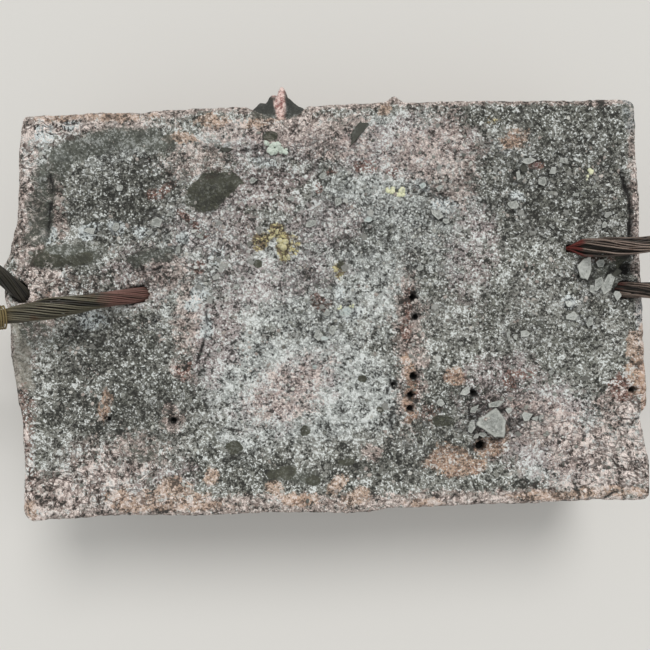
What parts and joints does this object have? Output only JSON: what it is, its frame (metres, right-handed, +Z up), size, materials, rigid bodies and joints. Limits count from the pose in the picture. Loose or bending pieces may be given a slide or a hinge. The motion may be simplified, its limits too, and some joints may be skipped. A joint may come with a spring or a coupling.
{
  "type": "copper ingot",
  "caption": "Open-cast block of raw copper with a wavy oxidised face, drafted sides and a wire rope lifting loop cast into each end.",
  "frame": {"origin": "middle of the flat underside that the block rests on", "axes": "+X along the block towards the right lifting loop, +Y across it towards the side with the run-over, +Z up, out of the open face"},
  "size_m": [1.3243, 0.6867, 0.3292],
  "materials": {
    "cast_copper": "cast, grey-green oxide over copper",
    "wire_rope": "brown, oiled and rusted steel wire"
  },
  "bodies": {
    "root": {"ingot": "cast_copper", "lifting_rope_left": "wire_rope", "lifting_rope_right": "wire_rope"}
  },
  "joints": []
}
